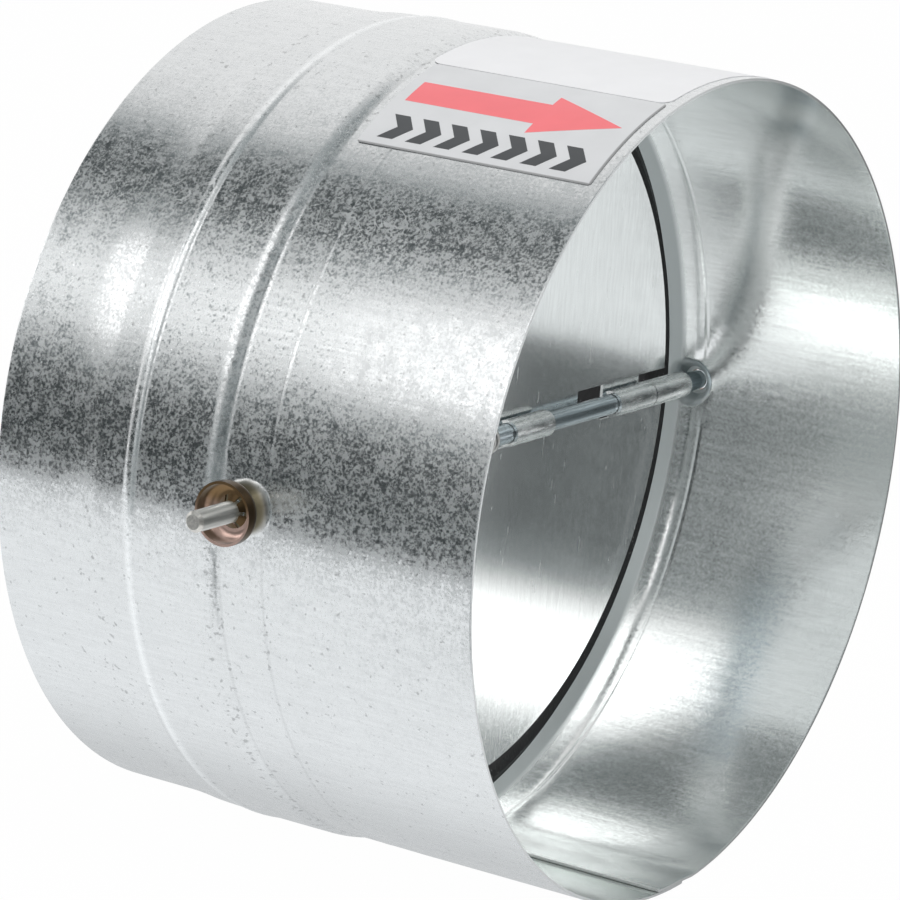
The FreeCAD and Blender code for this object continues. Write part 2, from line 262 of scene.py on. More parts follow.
class Graph:
    """Short calls that add linked nodes to one shader tree."""

    def __init__(self, tree):
        self.tree = tree

    def feed(self, socket, value):
        """Links a socket to another one, or sets its value."""
        if isinstance(value, bpy.types.NodeSocket):
            self.tree.links.new(value, socket)
        else:
            socket.default_value = value

    def node(self, kind, inputs=None, **settings):
        """New node with its settings and inputs."""
        made = self.tree.nodes.new("ShaderNode" + kind)
        for name, value in settings.items():
            setattr(made, name, value)
        for name, value in (inputs or {}).items():
            self.feed(made.inputs[name], value)
        return made

    def math(self, operation, *values):
        """Output of a Math node."""
        made = self.tree.nodes.new("ShaderNodeMath")
        made.operation = operation
        for socket, value in zip(made.inputs, values):
            self.feed(socket, value)
        return made.outputs[0]

    def vector(self, operation, *values):
        """Output of a Vector Math node."""
        made = self.tree.nodes.new("ShaderNodeVectorMath")
        made.operation = operation
        for socket, value in zip(made.inputs, values):
            self.feed(socket, value)
        return made.outputs[0]

    def place(self):
        """Place on the part, in metres."""
        return self.node("TexCoord").outputs["Object"]

    def axes(self):
        """Place on the part along each axis."""
        return self.node("SeparateXYZ", {"Vector": self.place()}).outputs

    def turn(self):
        """Turn about the casing axis, from the top towards the near side."""
        place = self.axes()
        return self.math("ARCTAN2", self.math("MULTIPLY", place["Y"], -1.0), place["Z"])

    def noise(self, scale, detail, **inputs):
        """Outputs of an even noise over the part."""
        inputs.update({"Vector": self.place(), "Scale": scale, "Detail": detail})
        return self.node("TexNoise", inputs).outputs

    def drawn(self, fineness, detail=2.0):
        """Outputs of a noise with its own fineness along each axis."""
        place = self.vector("MULTIPLY", self.place(), fineness)
        return self.node("TexNoise", {"Vector": place, "Scale": 1.0, "Detail": detail}).outputs

    def bump(self, height, strength, distance):
        """Normal of a surface raised by a height."""
        made = self.node("Bump", {"Height": height, "Strength": strength, "Distance": distance})
        return made.outputs["Normal"]

    def spread(self, value, low, high, start=0.0, end=1.0, smooth=False):
        """Value mapped from one range to another and held inside it."""
        made = self.node(
            "MapRange",
            {"Value": value, "From Min": low, "From Max": high, "To Min": start, "To Max": end},
            interpolation_type="SMOOTHSTEP" if smooth else "LINEAR",
        )
        return made.outputs["Result"]

    def mix(self, amount, first, second):
        """Mix of two numbers."""
        made = self.node("Mix", data_type="FLOAT")
        self.feed(made.inputs[0], amount)
        self.feed(made.inputs[2], first)
        self.feed(made.inputs[3], second)
        return made.outputs[0]

    def scaled(self, tint, factor):
        """Colour times a number."""
        made = self.node("VectorMath", operation="SCALE")
        self.feed(made.inputs["Vector"], tint)
        self.feed(made.inputs["Scale"], factor)
        return made.outputs["Vector"]

    def dot(self, first, second):
        """How far one direction points along another."""
        made = self.node("VectorMath", operation="DOT_PRODUCT")
        self.feed(made.inputs[0], first)
        self.feed(made.inputs[1], second)
        return made.outputs["Value"]

    def beside_shaft(self):
        """Way from the middle of the hinge shaft, square to it."""
        beside = self.vector("SUBTRACT", self.place(), (SHAFT_X, 0.0, SHAFT_Z))
        return self.vector("MULTIPLY", beside, (1.0, 0.0, 1.0))

    def reach(self):
        """Distance from the middle of the hinge shaft."""
        made = self.node("VectorMath", operation="LENGTH")
        self.feed(made.inputs[0], self.beside_shaft())
        return made.outputs["Value"]

    def blend(self, amount, first, second):
        """Mix of two colours."""
        made = self.node("Mix", data_type="RGBA")
        self.feed(made.inputs[0], amount)
        self.feed(made.inputs[6], first)
        self.feed(made.inputs[7], second)
        return made.outputs[2]


def rgba(values, factor=1.0):
    """Colour with an alpha, scaled."""
    return [value * factor for value in values] + [1.0]


def new_material(name):
    """Material with a Principled shader, and the graph it is fed from."""
    material = bpy.data.materials.new(name)
    material.use_nodes = True
    graph = Graph(material.node_tree)
    shader = material.node_tree.nodes["Principled BSDF"]
    return material, graph, shader


def new_metal(name):
    """Metallic material, and the graph it is fed from."""
    material, graph, shader = new_material(name)
    shader.inputs["Metallic"].default_value = 1.0
    return material, graph, shader


def stage_material(name):
    """Material without a shader, its graph, and the socket that its surface goes into."""
    material = bpy.data.materials.new(name)
    material.use_nodes = True
    tree = material.node_tree
    tree.nodes.remove(tree.nodes["Principled BSDF"])
    return material, Graph(tree), tree.nodes["Material Output"].inputs["Surface"]


def crystals(graph, size, cloud_fineness=0.25, cloud_depth=0.35):
    """Soft mosaic of zinc crystals: a value and a random direction at each place."""
    grain = graph.noise(scale=1 / size, detail=5.0, Roughness=0.8)
    cloud = graph.noise(scale=cloud_fineness / size, detail=2.0, Roughness=0.6)
    drift = graph.math("MULTIPLY", graph.math("SUBTRACT", cloud["Fac"], 0.5), cloud_depth)
    return graph.math("ADD", grain["Fac"], drift), grain["Color"]


def leaning_normal(graph, direction, tilt, lean=0.0):
    """Normal that leans with the crystals, and in long rolling streaks along the flow."""
    leans = [(direction, tilt)]
    if lean:
        leans.append((graph.drawn(fineness=(60.0, 1500.0, 1500.0), detail=3.0)["Color"], lean))
    normal = graph.node("NewGeometry").outputs["Normal"]
    for way, slope in leans:
        side = graph.vector("SUBTRACT", way, (0.5, 0.5, 0.5))
        normal = graph.vector("ADD", normal, graph.scaled(side, slope))
    return graph.vector("NORMALIZE", normal)


def streaks(graph, fineness, low, high, start=0.0, end=1.0):
    """Value that follows fine streaks; fineness is given along each axis."""
    return graph.spread(graph.drawn(fineness)["Fac"], low, high, start, end)


def outward_share(graph):
    """One where the casing faces away from its axis, minus one inside it and nought on cut edges."""
    across = graph.vector("NORMALIZE", graph.vector("MULTIPLY", graph.place(), (0.0, 1.0, 1.0)))
    return graph.dot(across, graph.node("NewGeometry").outputs["True Normal"])


def beside_line(graph, place, width, at_line, beside):
    """Value along a line round the casing, which turns to another one within a width."""
    off = graph.math("ABSOLUTE", graph.math("SUBTRACT", graph.axes()["X"], SHAFT_X + place))
    return graph.spread(off, 0.0, width, at_line, beside)


def bend_light_and_specks(graph, casing):
    """Painted highlight on the crest line and painted shade at the feet of the groove, times dark specks of
    dirt that gather near the bends.
    """
    crest = casing.bead_top + casing.crest_peak
    # Painted highlight along the crest line
    shade = beside_line(graph, crest, width=0.0012, at_line=1.20, beside=1.0)
    # Painted shade in the bends at the feet of the groove
    for foot in (casing.groove_start, casing.groove_end):
        painted_crease_shade = beside_line(graph, foot, width=0.0005, at_line=0.90, beside=1.0)
        shade = graph.math("MULTIPLY", shade, painted_crease_shade)
    specks = graph.noise(scale=900.0, detail=2.0)["Fac"]
    for bend_place in (casing.bead_line, casing.bead_end, casing.groove_start, casing.groove_end):
        near = beside_line(graph, bend_place, casing.soft_bend, at_line=0.06, beside=0.0)
        specks = graph.math("ADD", specks, near)
    return graph.math("MULTIPLY", shade, graph.spread(specks, low=0.655, high=0.75, start=1.0, end=0.66))


def scuffs(graph):
    """Share of the surface under hair-thin scuffs, which lie in loose patches."""
    winding = graph.noise(scale=70.0, detail=3.0, Distortion=1.2)["Fac"]
    off = graph.math("ABSOLUTE", graph.math("SUBTRACT", winding, 0.5))
    hair = graph.spread(off, low=0.003, high=0.009, start=1.0, end=0.0)
    patch = graph.spread(graph.noise(scale=60.0, detail=1.0)["Fac"], low=0.66, high=0.72)
    return graph.math("MULTIPLY", hair, patch)


def lap_shares(graph, casing):
    """Shares of the casing under the painted highlight along the lap seam, and under the painted shade of
    the strip beside it.
    """
    turn = graph.turn()
    on_lap = graph.math("GREATER_THAN", turn, casing.lap_angle)
    lap_highlight = graph.spread(turn, casing.lap_angle, casing.lap_angle + casing.lap_highlight_width, 1.0, 0.0)
    below = graph.spread(turn, casing.lap_angle - casing.lap_strip, casing.lap_angle)
    beside = graph.math("SUBTRACT", 1.0, on_lap)
    return graph.math("MULTIPLY", lap_highlight, on_lap), graph.math("MULTIPLY", below, beside)


def casing_shares(graph, finish, casing):
    """Shares of the casing that differ in finish, each by its name."""
    edge_limit = 0.3
    outward = outward_share(graph)
    inside = graph.math("LESS_THAN", outward, 0.0)
    edge = graph.math("LESS_THAN", graph.math("ABSOLUTE", outward), edge_limit)
    edge = graph.math("MULTIPLY", edge, graph.math("GREATER_THAN", graph.reach(), casing.boss_window))
    foot = casing.boss_radius + casing.boss_flare
    boss = graph.spread(graph.reach(), casing.boss_radius, foot, 1.0, 0.0, smooth=True)
    x = graph.axes()["X"]
    # Painted shade on the inside wall just past the seal, which is also made rougher
    by_seal = graph.math("GREATER_THAN", x, (SEAL_LOW.x + SEAL_HIGH.x) / 2)
    strip = graph.spread(x, SEAL_HIGH.x + finish.seal_shade_start, SEAL_HIGH.x + finish.seal_shade_end, 1.0, 0.0)
    shaded = graph.math("MULTIPLY", graph.math("MULTIPLY", inside, by_seal), strip)
    lap_highlight, below = (graph.math("MULTIPLY", inside, part) for part in lap_shares(graph, casing))
    return {"inside": inside, "edge": edge, "boss": boss, "shaded": shaded, "lap_highlight": lap_highlight, "below": below}


def casing_colour(graph, finish, casing, shares):
    """Zinc with rolling streaks, dirt specks and painted light along the bends, a painted highlight on the
    lap edge, painted shade on the bosses, beside the seal, beside the lap seam and on the far cut edges, and
    the tint of cut edges.
    """
    inside = shares["inside"]
    shade = streaks(graph, (110.0, 1500.0, 1500.0), low=0.25, high=0.75, start=0.95, end=1.03)
    # Outside only: painted highlight and shade along the bends, with dirt specks
    shade = graph.math("MULTIPLY", shade, graph.mix(inside, bend_light_and_specks(graph, casing), 1.0))
    zinc = graph.blend(inside, rgba(finish.zinc), rgba(finish.inner_zinc))
    # Painted shade on the bosses outside, a plainer zinc in their hollows inside
    shade_and_mottle = graph.blend(inside, rgba(finish.boss_shade_zinc), rgba(finish.hollow_zinc))
    zinc = graph.blend(shares["boss"], graph.scaled(zinc, shade), shade_and_mottle)
    # Painted shade beside the seal
    zinc = graph.blend(shares["shaded"], zinc, rgba(finish.seal_shade_zinc))
    # Painted shade beside the lap seam
    zinc = graph.blend(shares["below"], zinc, rgba(finish.lap_shade_zinc))
    # Painted shade: cut edges darker towards the far side
    rim = graph.spread(graph.axes()["Y"], low=-0.02, high=0.04, start=1.0, end=finish.far_rim_shade)
    zinc = graph.blend(shares["edge"], zinc, graph.scaled(finish.edge_zinc[:], rim))
    # Painted highlight: the lap edge is painted white
    return graph.blend(shares["lap_highlight"], zinc, WHITE)


def casing_roughness(graph, finish, value, shares, smoothest=0.6, roughest=1.5):
    """Roughness that follows the crystals, duller on bosses, cut edges and the strip by the seal."""
    inside = shares["inside"]
    outer = graph.spread(value, low=0.30, high=0.74, start=finish.smooth_grain, end=finish.rough_grain)
    outer = graph.mix(scuffs(graph), outer, finish.rough_grain)
    inner = finish.inner_roughness
    inner = graph.spread(value, low=0.27, high=0.73, start=inner * smoothest, end=inner * roughest)
    rough = graph.mix(inside, outer, inner)
    on_boss = graph.mix(inside, finish.boss_roughness, finish.hollow_roughness)
    rough = graph.mix(shares["boss"], rough, on_boss)
    rough = graph.mix(graph.math("MAXIMUM", shares["edge"], shares["lap_highlight"]), rough, finish.edge_roughness)
    return graph.mix(shares["shaded"], rough, finish.edge_roughness)


def galvanised_casing(finish, casing):
    """Zinc-coated sheet: smooth and rough crystals outside, finer inside, with dirt specks and painted
    highlight and shade along the bends.
    """
    spark_fineness = 1.6
    material, graph, shader = new_metal("galvanised_casing")
    value, direction = crystals(graph, finish.grain)
    shares = casing_shares(graph, finish, casing)
    graph.feed(shader.inputs["Base Color"], casing_colour(graph, finish, casing, shares))
    graph.feed(shader.inputs["Roughness"], casing_roughness(graph, finish, value, shares))
    spark = graph.noise(scale=spark_fineness / finish.grain, detail=1.0)["Fac"]
    spark = graph.spread(spark, low=0.66, high=0.72)
    outer_tilt = graph.mix(spark, finish.grain_tilt, finish.spark_tilt)
    tilt = graph.mix(shares["inside"], outer_tilt, finish.inner_tilt)
    graph.feed(shader.inputs["Normal"], leaning_normal(graph, direction, tilt, finish.rolling_lean))
    return material


def galvanised_blade(finish):
    """Smoother zinc-coated sheet with upright scratches, streaked along the rolled knuckles."""
    knuckle_reach = 1.45 * SHAFT_RADIUS
    face_limit = 0.9
    material, graph, shader = new_metal("galvanised_blade")
    rolled = graph.math("LESS_THAN", graph.reach(), knuckle_reach)
    lines = streaks(graph, (1300.0, 240.0, 1300.0), low=0.35, high=0.65)
    scratches = streaks(graph, (900.0, 1100.0, 160.0), low=0.68, high=0.75)
    plate_shade = streaks(graph, (1500.0, 1500.0, 150.0), low=0.30, high=0.70, start=0.94, end=1.02)
    knuckle_shade = graph.spread(lines, low=0.0, high=1.0, start=0.84, end=1.08)
    shade = graph.mix(rolled, plate_shade, knuckle_shade)
    graph.feed(shader.inputs["Base Color"], graph.scaled(finish.blade_zinc[:], shade))
    normal = graph.node("NewGeometry").outputs["True Normal"]
    facing = graph.math("ABSOLUTE", graph.dot(normal, (1.0, 0.0, 0.0)))
    edge = graph.math("SUBTRACT", graph.math("LESS_THAN", facing, face_limit), rolled)
    worn = graph.math("MAXIMUM", scratches, graph.math("MULTIPLY", rolled, lines))
    smooth = finish.blade_roughness
    rough = graph.spread(worn, 0.0, 1.0, smooth, smooth + finish.blade_wear)
    graph.feed(shader.inputs["Roughness"], graph.mix(edge, rough, finish.edge_roughness))
    _, direction = crystals(graph, finish.grain)
    tilt = graph.mix(rolled, finish.inner_tilt, finish.knuckle_tilt)
    graph.feed(shader.inputs["Normal"], leaning_normal(graph, direction, tilt))
    return material


def plated_rod(finish):
    """Bright plated rod with drawn lines along it; outside the washers it is duller and takes a lighter,
    warmer colour, painted light where its ends stand in the light.
    """
    material, graph, shader = new_metal("plated_rod")
    outside = graph.math("GREATER_THAN", graph.math("ABSOLUTE", graph.axes()["Y"]), WASHER_LOW.y)
    rough = graph.mix(outside, finish.rod_roughness, finish.rod_end_roughness)
    graph.feed(shader.inputs["Roughness"], rough)
    lines = graph.drawn(fineness=(2400.0, 90.0, 2400.0))["Fac"]
    tone = graph.spread(lines, low=0.3, high=0.7, start=0.75, end=1.1)
    # Painted light: a lighter copy of the zinc on the ends outside the washers
    zinc = graph.blend(outside, rgba(finish.rod_zinc), rgba(finish.lit_rod_end))
    graph.feed(shader.inputs["Base Color"], graph.scaled(zinc, tone))
    graph.feed(shader.inputs["Normal"], graph.bump(lines, strength=0.10, distance=0.0002))
    return material


def bronzed_steel(finish, skirt_shade=0.45):
    """Bronze-coloured spring steel, bronze above the shaft, with a painted copper highlight below it and
    painted shade on the outer skirt.
    """
    material, graph, shader = new_metal("bronzed_steel")
    shader.inputs["Roughness"].default_value = finish.washer_roughness
    # Mottle noise that moves the edge of the painted highlight, and bumps the surface
    shade_and_mottle = graph.noise(scale=420.0, detail=4.0)["Fac"]
    level = graph.math("MULTIPLY_ADD", shade_and_mottle, finish.mottle_reach, graph.axes()["Z"])
    low, high = SHAFT_Z + finish.highlight_low, SHAFT_Z + finish.highlight_high
    # Painted highlight: copper below the shaft, bronze above it
    tone = graph.spread(level, low, high, 1.0, 0.0, smooth=True)
    # Painted shade: the outer skirt takes a darker copy of the bronze
    beside = graph.vector("NORMALIZE", graph.beside_shaft())
    skirt = graph.dot(beside, graph.node("NewGeometry").outputs["Normal"])
    bowl = graph.spread(skirt, low=0.2, high=0.5, start=1.0, end=0.0)
    tinted = graph.blend(tone, rgba(finish.bronze), rgba(finish.copper_highlight))
    graph.feed(shader.inputs["Base Color"], graph.blend(bowl, rgba(finish.bronze, skirt_shade), tinted))
    graph.feed(shader.inputs["Normal"], graph.bump(shade_and_mottle, strength=0.15, distance=0.0003))
    return material


def spring_wire(finish, darkest=0.8, lightest=1.1):
    """Drawn spring steel."""
    material, graph, shader = new_metal("spring_wire")
    shader.inputs["Roughness"].default_value = finish.spring_roughness
    tone = graph.spread(graph.noise(scale=900.0, detail=2.0)["Fac"], low=0.35, high=0.65)
    wire = graph.blend(tone, rgba(finish.spring, darkest), rgba(finish.spring, lightest))
    graph.feed(shader.inputs["Base Color"], wire)
    return material


def seal_rubber(finish):
    """Black foam rubber with a little pale dust."""
    material, graph, shader = new_material("seal_rubber")
    shader.inputs["Roughness"].default_value = finish.rubber_roughness
    dust = graph.node("TexVoronoi", {"Vector": graph.place(), "Scale": 1100.0}).outputs["Distance"]
    speck = graph.spread(dust, low=0.10, high=0.20, start=1.0, end=0.0)
    patch = graph.spread(graph.noise(scale=160.0, detail=2.0)["Fac"], low=0.52, high=0.66)
    speck = graph.math("MULTIPLY", speck, patch)
    graph.feed(shader.inputs["Base Color"], graph.blend(speck, rgba(finish.rubber), rgba(finish.dust)))
    pores = graph.noise(scale=1500.0, detail=3.0)["Fac"]
    graph.feed(shader.inputs["Normal"], graph.bump(pores, strength=0.4, distance=0.0003))
    return material


def label_stock(name, tint, roughness, mottle, line=None, line_shade=1.0):
    """Printed film or paper, faintly uneven; line gives the share of it under a darker line."""
    material, graph, shader = new_material(name)
    shader.inputs["Roughness"].default_value = roughness
    tone = graph.spread(graph.noise(scale=140.0, detail=5.0)["Fac"], low=0.3, high=0.7)
    tinted = graph.blend(tone, rgba(tint, 1.0 - mottle), rgba(tint))
    if line:
        tinted = graph.blend(line(graph), tinted, rgba(tint, line_shade))
    graph.feed(shader.inputs["Base Color"], tinted)
    waves = graph.noise(scale=55.0, detail=3.0)["Fac"]
    graph.feed(shader.inputs["Normal"], graph.bump(waves, strength=0.35, distance=0.0012))
    return material


def flow_film(labels, end, last_turn):
    """Silver-grey film with a painted shadow: a thin dark line along its end and its lower edge."""
    width = labels.edge_line
    turn_width = width / CASING_HIGH.z

    def line(graph):
        # Painted shadow along the end and the lower edge
        at_end = graph.spread(graph.axes()["X"], end - 2 * width, end - width)
        at_foot = graph.spread(graph.turn(), last_turn - 2 * turn_width, last_turn - turn_width)
        return graph.math("MAXIMUM", at_end, at_foot)

    return label_stock(
        "label_film", labels.film, roughness=0.35, mottle=0.06, line=line, line_shade=labels.edge_shade
    )


def bend(distance, width):
    """Rise after a bend of unit slope: none before it, straight after it, rounded across its width."""
    if distance <= -width / 2:
        return 0.0
    if distance >= width / 2:
        return distance
    return (distance + width / 2) ** 2 / (2 * width)


def collar_radius(casing):
    """Outside radius of the plain collars."""
    return CASING_HIGH.z - casing.crest_height - casing.bead_height


def wall_bends(casing):
    """Bends of the casing wall along the flow: place, change of slope and width."""
    bead = casing.bead_height
    crest = casing.bead_top + casing.crest_peak
    crease = casing.crease_width / 2
    crease_bend = crease / 2
    groove_low = -casing.groove_depth * casing.crease_level
    stations = [
        (INLET_X - SHAFT_X, 0.0, 0.0),
        (casing.bead_foot, 0.0, casing.bead_sweep),
        (casing.bead_line, casing.bead_rise, casing.firm_bend),
        (casing.bead_top, bead, casing.crest_foot),
        (crest, bead + casing.crest_height, casing.crest_bend),
        (casing.bead_top + casing.crest_width, bead, casing.crest_foot),
        (casing.bead_end, bead, casing.soft_bend),
        (casing.groove_start, -casing.groove_depth, casing.firm_bend),
        (casing.groove_end - crease, groove_low, crease_bend),
        (casing.groove_end, groove_low + casing.crease_height, crease_bend),
        (casing.groove_end + crease, groove_low, crease_bend),
        (casing.plain_start, 0.0, casing.soft_bend),
        (OUTLET_X - SHAFT_X, 0.0, 0.0),
    ]
    slopes = [(b[1] - a[1]) / (b[0] - a[0]) for a, b in zip(stations, stations[1:])]
    return [
        (SHAFT_X + station[0], after - before, station[2])
        for station, before, after in zip(stations[1:], slopes, slopes[1:])
    ]


def wall_radius(casing, x):
    """Outside radius of the casing at a place along the flow."""
    rises = [change * bend(x - place, width) for place, change, width in wall_bends(casing)]
    return collar_radius(casing) + sum(rises)


def wall_places(casing, start, end, widest=0.004, across_bend=6):
    """Places along the flow, close together across each bend."""
    places = {start, start + casing.edge_band, end - casing.edge_band, end}
    for place, _, width in wall_bends(casing):
        steps = [place + width * (step / across_bend - 0.5) for step in range(-1, across_bend + 2)]
        places.update(round(step, 5) for step in steps if start < step < end)
    ordered = sorted(places)
    for left, right in zip(ordered, ordered[1:]):
        parts = math.ceil((right - left) / widest)
        places.update(left + (right - left) * part / parts for part in range(1, parts))
    return sorted(places)


def wall_point(casing, x, turn, lift=0.0):
    """Point on the casing wall; the turn runs from the top towards the near side."""
    radius = wall_radius(casing, x) + lift
    return Vector((x, -radius * math.sin(turn), radius * math.cos(turn)))


def skin_point(casing, x, turn, lift):
    """Point on a label, which lies on the wall and bridges its groove."""
    radius = max(wall_radius(casing, x), collar_radius(casing)) + lift
    return Vector((x, -radius * math.sin(turn), radius * math.cos(turn)))


def new_object(name, vertices, faces, material):
    """Smooth mesh object with one material."""
    mesh = bpy.data.meshes.new(name)
    mesh.from_pydata(vertices, [], faces)
    mesh.validate()
    mesh.materials.append(material)
    mesh.shade_smooth()
    made = bpy.data.objects.new(name, mesh)
    bpy.context.scene.collection.objects.link(made)
    return made


def round_edges(made, width):
    """Rounds the cut edges of a sheet."""
    rounding = made.modifiers.new("cut_edges", "BEVEL")
    rounding.width = width
    rounding.segments = 2
    rounding.limit_method = "ANGLE"
    rounding.angle_limit = SHARP_ANGLE


def thicken(made, thickness, rounding=0.0):
    """Gives a sheet its thickness, inwards, with sharp or rounded cut edges."""
    modifier = made.modifiers.new("thickness", "SOLIDIFY")
    modifier.thickness = thickness
    modifier.offset = -1.0
    modifier.use_even_offset = True
    if rounding:
        round_edges(made, rounding)
    bpy.context.view_layer.update()
    solid = made.evaluated_get(bpy.context.evaluated_depsgraph_get())
    mesh = bpy.data.meshes.new_from_object(solid)
    made.modifiers.clear()
    made.data = mesh
    mesh.set_sharp_from_angle(angle=SHARP_ANGLE)
    return made


def mirrored_only(made):
    """Shows a piece to glossy rays alone."""
    made.visible_camera = False
    made.visible_diffuse = False
    made.visible_shadow = False
    made.visible_transmission = False


def dressed(node_name, material):
    """CAD node that keeps its shape and takes a finish."""
    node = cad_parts[node_name]
    node.data.materials.clear()
    node.data.materials.append(material)
    return node


def boss_rings(casing, arc_steps=12):
    """Rings of the boss from its foot to the shaft hole: radius, and share of its height."""
    foot = casing.boss_radius + casing.boss_flare
    turns = [math.pi / 2 * step / arc_steps for step in range(arc_steps + 1)]
    rings = [(foot - (foot - casing.boss_tip) * math.sin(turn), 1 - math.cos(turn)) for turn in turns]
    hole = SHAFT_RADIUS + casing.shaft_play
    return rings + [((casing.boss_tip + hole) / 2, 1.0), (hole, 1.0)]


def raise_boss(casing, vertices, faces, loop, side):
    """Fills the window in the wall with a patch that runs in to the boss and its hole."""
    centre = Vector((SHAFT_X, SHAFT_Z))
    edge = [Vector((vertices[index].x, vertices[index].z)) for index in loop]
    foot = casing.boss_radius + casing.boss_flare
    steps = 6
    last = loop

    def on_wall(flat):
        return side * math.sqrt(wall_radius(casing, flat.x) ** 2 - flat.y ** 2)

    def add_ring(points):
        nonlocal last
        ring = list(range(len(vertices), len(vertices) + len(points)))
        vertices.extend(points)
        for index in range(len(loop)):
            following = (index + 1) % len(loop)
            faces.append((last[index], last[following], ring[following], ring[index]))
        last = ring

    outward = [(flat - centre).normalized() for flat in edge]
    for step in range(1, steps + 1):
        part = step / steps
        flats = [flat.lerp(centre + foot * way, part) for flat, way in zip(edge, outward)]
        add_ring([Vector((flat.x, on_wall(flat), flat.y)) for flat in flats])
    feet = [on_wall(centre + foot * way) for way in outward]
    face = side * WASHER_LOW.y
    for radius, height in boss_rings(casing)[1:]:
        flats = [centre + radius * way for way in outward]
        add_ring([
            Vector((flat.x, low + (face - low) * height, flat.y)) for flat, low in zip(flats, feet)
        ])


def casing_sheet(casing, material):
    """One rolled sheet, lapped at the bottom, with a boss raised round each shaft hole."""
    places = wall_places(casing, INLET_X, OUTLET_X)
    lap_turn = casing.lap_width / collar_radius(casing)
    first = casing.lap_angle + lap_turn
    sweep = 2 * math.pi + lap_turn
    turns = [first - sweep * step / casing.turn_steps for step in range(casing.turn_steps + 1)]
    band = casing.edge_band / collar_radius(casing)
    turns = [turns[0], turns[0] - band] + turns[1:-1] + [turns[-1] + band, turns[-1]]
    vertices = []
    for turn in turns:
        under = (first - 2 * math.pi + casing.lap_step - turn) / casing.lap_step
        inset = casing.sheet * min(max(under, 0.0), 1.0)
        inset += casing.lap_lift * max(1 - (turn - turns[-1]) / lap_turn, 0.0) ** 2
        vertices.extend(wall_point(casing, x, turn, -inset) for x in places)
    rows = len(places)
    boss_rows = [row for row, x in enumerate(places) if abs(x - SHAFT_X) < casing.boss_window]
    faces = []
    loops = []
    window = casing.boss_window / collar_radius(casing)
    inside = set()
    for side, middle in ((-1, math.pi / 2), (1, -math.pi / 2)):
        columns = [column for column, turn in enumerate(turns) if abs(turn - middle) < window]
        inside.update(
            (column, row) for column in columns[:-1] for row in boss_rows[:-1]
        )
        left = [columns[0] * rows + row for row in boss_rows]
        right = [columns[-1] * rows + row for row in boss_rows]
        low = [column * rows + boss_rows[0] for column in columns]
        high = [column * rows + boss_rows[-1] for column in columns]
        loops.append((side, left[:-1] + high[:-1] + right[:0:-1] + low[:0:-1]))
    for column in range(len(turns) - 1):
        for row in range(rows - 1):
            if (column, row) not in inside:
                corner = column * rows + row
                faces.append((corner, corner + 1, corner + rows + 1, corner + rows))
    for side, loop in loops:
        raise_boss(casing, vertices, faces, loop, side)
    made = new_object("casing_sheet", vertices, faces, material)
    return thicken(made, casing.sheet, casing.edge_round)


def skin_grid(casing, outline, steps, lift):
    """Vertices and faces of a patch on the casing; outline maps two shares to a place and a turn."""
    along, across = steps
    vertices = []
    for i in range(along + 1):
        for j in range(across + 1):
            x, turn = outline(i / along, j / across)
            vertices.append(skin_point(casing, x, turn, lift))
    faces = []
    for i in range(along):
        for j in range(across):
            corner = i * (across + 1) + j
            faces.append((corner, corner + 1, corner + across + 2, corner + across + 1))
    return vertices, faces


def skin_object(name, casing, patches, lift, material):
    """Thin piece on the casing made of several patches."""
    vertices = []
    faces = []
    for outline, steps in patches:
        patch_vertices, patch_faces = skin_grid(casing, outline, steps, lift)
        offset = len(vertices)
        vertices.extend(patch_vertices)
        faces.extend(tuple(index + offset for index in face) for face in patch_faces)
    return new_object(name, vertices, faces, material)


def turn_of(point):
    """Turn of a point about the casing axis, from the top towards the near side."""
    return math.atan2(-point[1], point[2])


def rounded_label(casing, ends, turns, corner):
    """Outline of a label with rounded corners."""
    start, end = ends
    low, high = turns
    radius = collar_radius(casing)

    def outline(along, across):
        x = start + (end - start) * (1 - math.cos(math.pi * along)) / 2
        near_end = max(corner - (x - start), corner - (end - x), 0.0)
        inset = (corner - math.sqrt(max(corner ** 2 - near_end ** 2, 0.0))) / radius
        return x, low + inset + (high - low - 2 * inset) * across

    return outline


def label_turns(node_name):
    """First and last turn that a label covers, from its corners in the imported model."""
    turns = [turn_of(vertex.co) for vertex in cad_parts[node_name].data.vertices]
    return min(turns), max(turns)


def arrow_patches(labels):
    """Stem and head of the flow arrow."""
    tail, neck, tip = (SHAFT_X + x for x in (labels.arrow_tail, labels.arrow_neck, labels.arrow_tip))

    def stem(along, across):
        return tail + (neck - tail) * along, labels.arrow_angle + labels.arrow_stem * (across - 0.5)

    def head(along, across):
        width = labels.arrow_head * (1 - along)
        return neck + (tip - neck) * along, labels.arrow_angle + width * (across - 0.5)

    return [(stem, (16, 8)), (head, (16, 8))]


def chevron_patches(labels, count=7):
    """Row of slanted chevrons below the arrow, pointing along the flow."""
    low, high = labels.chevron_low, labels.chevron_high
    first, last = SHAFT_X + labels.chevron_start, SHAFT_X + labels.chevron_end
    pitch = (last - first) / count
    stroke = pitch * labels.chevron_stroke
    point = pitch * labels.chevron_point

    def half(index, upper):
        def outline(along, across):
            turn_share = across / 2 if upper else 0.5 + across / 2
            reach = point * (1 - abs(2 * turn_share - 1))
            return first + pitch * index + stroke * along + reach, low + (high - low) * turn_share

        return outline

    return [(half(index, upper), (4, 4)) for index in range(count) for upper in (True, False)]


